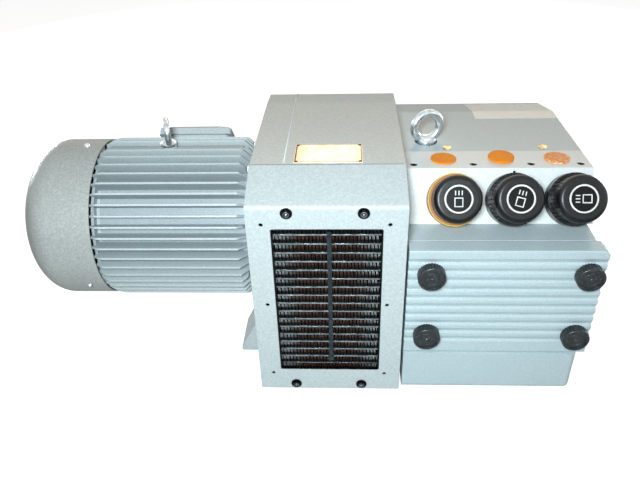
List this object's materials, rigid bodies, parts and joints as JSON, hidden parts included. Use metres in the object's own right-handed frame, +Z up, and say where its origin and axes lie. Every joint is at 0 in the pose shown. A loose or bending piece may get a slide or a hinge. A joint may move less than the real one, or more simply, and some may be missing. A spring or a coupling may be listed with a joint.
{
  "type": "oil-free rotary vane air pump",
  "caption": "Oil-free rotary vane pressure and vacuum pump with flange motor, air cooler hood, ribbed filter cover, regulator knobs and capped ports.",
  "frame": {"origin": "on the floor, in the middle of the four mounting threads of the rubber feet", "axes": "+X along the shaft from the motor towards the pump end, -Y the front with the cooler window, +Z up"},
  "size_m": [0.8605, 0.4241, 0.419],
  "materials": {
    "hammer_paint_hood": "light grey hammer paint",
    "hammer_paint_motor": "silver grey paint on a cast frame",
    "cowl_paint": "darker grey hammer paint",
    "unit_paint": "silver grey paint",
    "panel_paint": "pale silver paint",
    "cast_iron": "grey primed casting",
    "steel": "machined steel",
    "zinc_steel": "bright zinc plate",
    "black_steel": "black oxide",
    "yellow_zinc": "yellow zinc plate",
    "tube_aluminium": "bare aluminium",
    "black_fins": "black cooler paint",
    "black_knob": "glossy moulded plastic",
    "yellow_sleeve": "amber moulded plastic",
    "thumb_plastic": "moulded plastic",
    "orange_cap": "soft polyethylene",
    "fan_plastic": "moulded plastic",
    "spider_rubber": "polyurethane",
    "gasket_rubber": "rubber sheet",
    "buffer_rubber": "moulded rubber",
    "vane_carbon": "carbon graphite",
    "filter_paper": "pleated filter medium",
    "plate_brass": "thin gold coloured plate, bare"
  },
  "bodies": {
    "frame": {"bell_housing": "unit_paint", "block_screws": "black_steel", "cooler_bar": "black_fins", "cooler_fins": "black_fins", "cooler_frame": "black_fins", "cooler_tubes": "tube_aluminium", "cowl_screws": "steel", "cylinder": "cast_iron", "drive_cover": "cast_iron", "end_cover": "cast_iron", "fan_cowl": "cowl_paint", "filter_cartridges": "filter_paper", "filter_housing": "unit_paint", "flange_bolts": "steel", "front_shield": "hammer_paint_motor", "hood": "hammer_paint_hood", "hood_screws": "black_steel", "motor_bearings": "steel", "motor_eyebolt": "zinc_steel", "motor_frame": "hammer_paint_motor", "pump_bearings": "steel", "pump_bracket": "cast_iron", "pump_eyebolt": "zinc_steel", "rating_plate": "plate_brass", "rear_shield": "hammer_paint_motor", "regulator_sleeve_left": "yellow_sleeve", "regulator_sleeves": "black_knob", "rubber_feet": "buffer_rubber", "stator_core": "steel", "terminal_box": "hammer_paint_motor", "terminal_lid": "hammer_paint_motor", "terminal_screws": "steel", "top_cover": "unit_paint", "top_cover_screws": "yellow_zinc", "valve_block": "panel_paint"},
    "shaft_train": {"motor_shaft": "steel", "motor_rotor": "steel", "cooling_fan": "fan_plastic", "motor_hub": "tube_aluminium", "coupling_spider": "spider_rubber", "pump_hub": "tube_aluminium", "ventilator": "fan_plastic", "pump_rotor": "steel", "vanes": "vane_carbon"},
    "cover": {"filter_cover": "unit_paint", "cover_gasket": "gasket_rubber"},
    "thumb_1": {"thumb_screw_1": "thumb_plastic"},
    "thumb_2": {"thumb_screw_2": "thumb_plastic"},
    "thumb_3": {"thumb_screw_3": "thumb_plastic"},
    "thumb_4": {"thumb_screw_4": "thumb_plastic"},
    "knob_left": {"regulator_knob_left": "black_knob", "regulator_spindle_left": "steel"},
    "knob_middle": {"regulator_knob_middle": "black_knob", "regulator_spindle_middle": "steel"},
    "knob_right": {"regulator_knob_right": "black_knob", "regulator_spindle_right": "steel"},
    "cap_left": {"port_cap_left": "orange_cap"},
    "cap_middle": {"port_cap_middle": "orange_cap"},
    "cap_right": {"port_cap_right": "orange_cap"}
  },
  "joints": [
    {"name": "shaft_spin", "type": "hinge", "parent": "frame", "child": "shaft_train", "pos_m": [0, 0, 0.235], "axis": [1, 0, 0], "continuous": true},
    {"name": "cover_slide", "type": "slide", "parent": "frame", "child": "cover", "axis": [0, -1, 0], "range_m": [0, 0.12]},
    {"name": "thumb_1_turn", "type": "hinge", "parent": "cover", "child": "thumb_1", "pos_m": [0.0376, -0.21, 0.2614], "axis": [0, -1, 0], "continuous": true},
    {"name": "thumb_2_turn", "type": "hinge", "parent": "cover", "child": "thumb_2", "pos_m": [0.2494, -0.21, 0.2614], "axis": [0, -1, 0], "continuous": true},
    {"name": "thumb_3_turn", "type": "hinge", "parent": "cover", "child": "thumb_3", "pos_m": [0.0376, -0.21, 0.154], "axis": [0, -1, 0], "continuous": true},
    {"name": "thumb_4_turn", "type": "hinge", "parent": "cover", "child": "thumb_4", "pos_m": [0.2494, -0.21, 0.154], "axis": [0, -1, 0], "continuous": true},
    {"name": "knob_left_turn", "type": "hinge", "parent": "frame", "child": "knob_left", "pos_m": [0.0715, -0.11694, 0.32853], "axis": [0, -0.8598, 0.5106], "range_deg": [-135, 135]},
    {"name": "knob_middle_turn", "type": "hinge", "parent": "frame", "child": "knob_middle", "pos_m": [0.1535, -0.11694, 0.32853], "axis": [0, -0.8598, 0.5106], "range_deg": [-120, 150]},
    {"name": "knob_right_turn", "type": "hinge", "parent": "frame", "child": "knob_right", "pos_m": [0.2355, -0.11694, 0.32853], "axis": [0, -0.8598, 0.5106], "range_deg": [-225, 45]},
    {"name": "cap_left_lift", "type": "slide", "parent": "frame", "child": "cap_left", "axis": [0, 0, 1], "range_m": [0, 0.06]},
    {"name": "cap_middle_lift", "type": "slide", "parent": "frame", "child": "cap_middle", "axis": [0, 0, 1], "range_m": [0, 0.06]},
    {"name": "cap_right_lift", "type": "slide", "parent": "frame", "child": "cap_right", "axis": [0, 0, 1], "range_m": [0, 0.06]}
  ]
}
